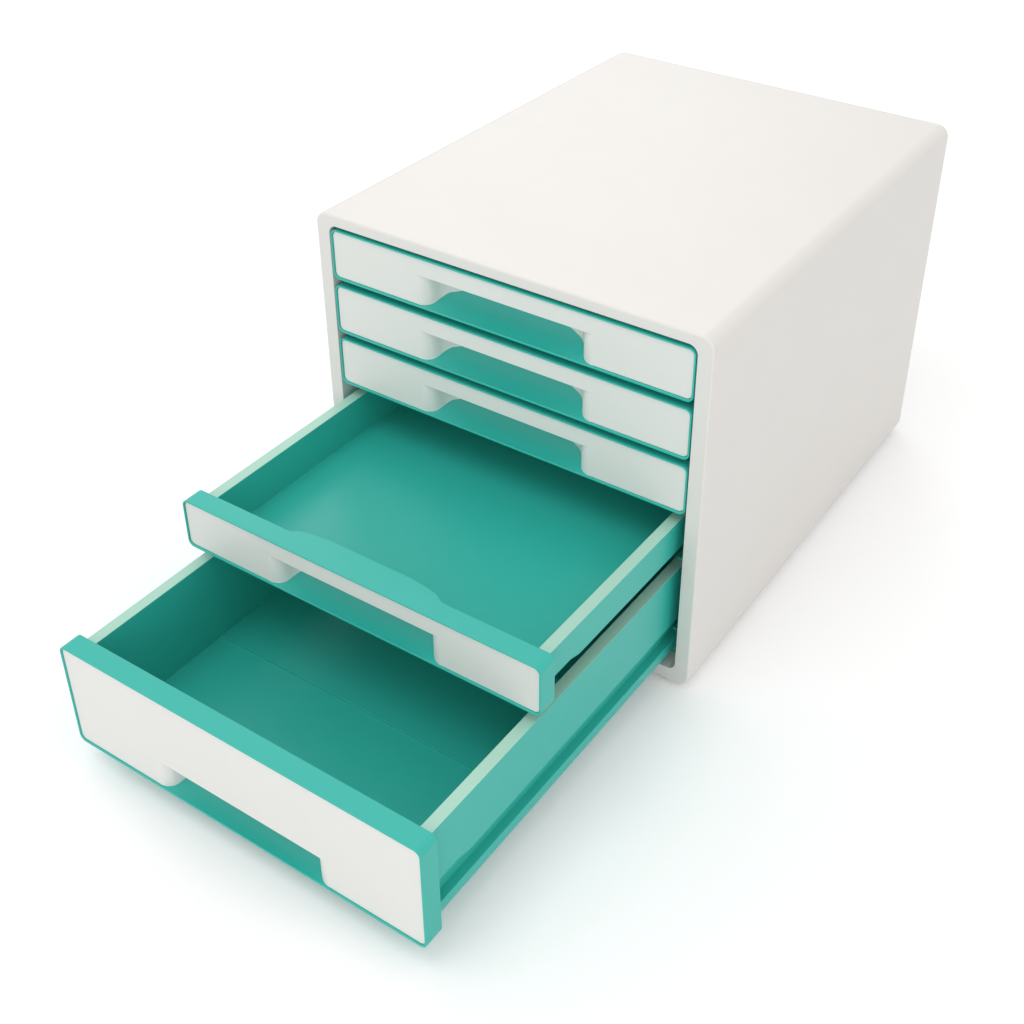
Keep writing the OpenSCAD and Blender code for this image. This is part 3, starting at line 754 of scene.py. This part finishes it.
# to the camera alone the floor is a little whiter, as a lit backdrop is
lit = nodes.new("ShaderNodeEmission")
seen_directly = nodes.new("ShaderNodeLightPath")
whiter = nodes.new("ShaderNodeMath")
whiter.operation = "MULTIPLY"
whiter.inputs[1].default_value = 0.14
links.new(seen_directly.outputs["Is Camera Ray"], whiter.inputs[0])
links.new(whiter.outputs["Value"], lit.inputs["Strength"])
both = nodes.new("ShaderNodeAddShader")
links.new(shader.outputs["BSDF"], both.inputs[0])
links.new(lit.outputs["Emission"], both.inputs[1])
links.new(both.outputs["Shader"], nodes["Material Output"].inputs["Surface"])
floor_data.materials.append(floor_finish)


def lamp(name, place, target, size, power):
    """A round soft lamp, so many metres across and so many watts strong."""
    light = bpy.data.lights.new(name, "AREA")
    light.shape = "DISK"
    light.size = size
    light.energy = power
    holder = bpy.data.objects.new(name, light)
    holder.location = place
    aim = Vector(target) - Vector(place)
    holder.rotation_euler = aim.to_track_quat("-Z", "Y").to_euler()
    bpy.context.scene.collection.objects.link(holder)


lamp("lamp_over", (-0.2, -1.0, 2.1), (0, -0.1, 0.1), 1.2, 8)
lamp("lamp_front", (1.1, -2.2, 0.8), (0, -0.2, 0.1), 1.4, 6)
lamp("lamp_behind", (-1.2, 1.6, 1.4), (0, 0, 0.2), 1.4, 6)

# the camera and reflections see plain white, and what lights the cabinet is weaker
world = bpy.data.worlds.new("surround")
bpy.context.scene.world = world
world.use_nodes = True
nodes, links = world.node_tree.nodes, world.node_tree.links
surround = nodes["Background"]
surround.inputs["Color"].default_value = (1, 1, 1, 1)
surround.inputs["Strength"].default_value = 0.82
white = nodes.new("ShaderNodeBackground")
white.inputs["Color"].default_value = (1, 1, 1, 1)
white.inputs["Strength"].default_value = 1
path = nodes.new("ShaderNodeLightPath")
seen = nodes.new("ShaderNodeMath")
seen.operation = "MAXIMUM"
links.new(path.outputs["Is Camera Ray"], seen.inputs[0])
links.new(path.outputs["Is Glossy Ray"], seen.inputs[1])
also = nodes.new("ShaderNodeMath")
also.operation = "MAXIMUM"
links.new(seen.outputs["Value"], also.inputs[0])
links.new(path.outputs["Is Transmission Ray"], also.inputs[1])
mixed = nodes.new("ShaderNodeMixShader")
links.new(also.outputs["Value"], mixed.inputs["Fac"])
links.new(surround.outputs["Background"], mixed.inputs[1])
links.new(white.outputs["Background"], mixed.inputs[2])
links.new(mixed.outputs["Shader"], nodes["World Output"].inputs["Surface"])

LOOK_DOWN, LOOK_ROUND, ROLL = (math.radians(angle) for angle in (34.378, 35.172, -0.511))
camera_data = bpy.data.cameras.new("camera")
camera_data.lens = 51.8
camera_data.sensor_width = 36
camera_data.shift_y = -0.080
camera_data.clip_end = 60
camera = bpy.data.objects.new("camera", camera_data)
bpy.context.scene.collection.objects.link(camera)
camera.location = (0.44846, -0.80677, 0.67521)
aim = Euler((math.pi / 2 - LOOK_DOWN, 0, LOOK_ROUND)).to_matrix()
camera.rotation_euler = (aim @ Matrix.Rotation(ROLL, 3, "Z")).to_euler()
bpy.context.scene.camera = camera
bpy.context.scene.view_settings.view_transform = "Standard"
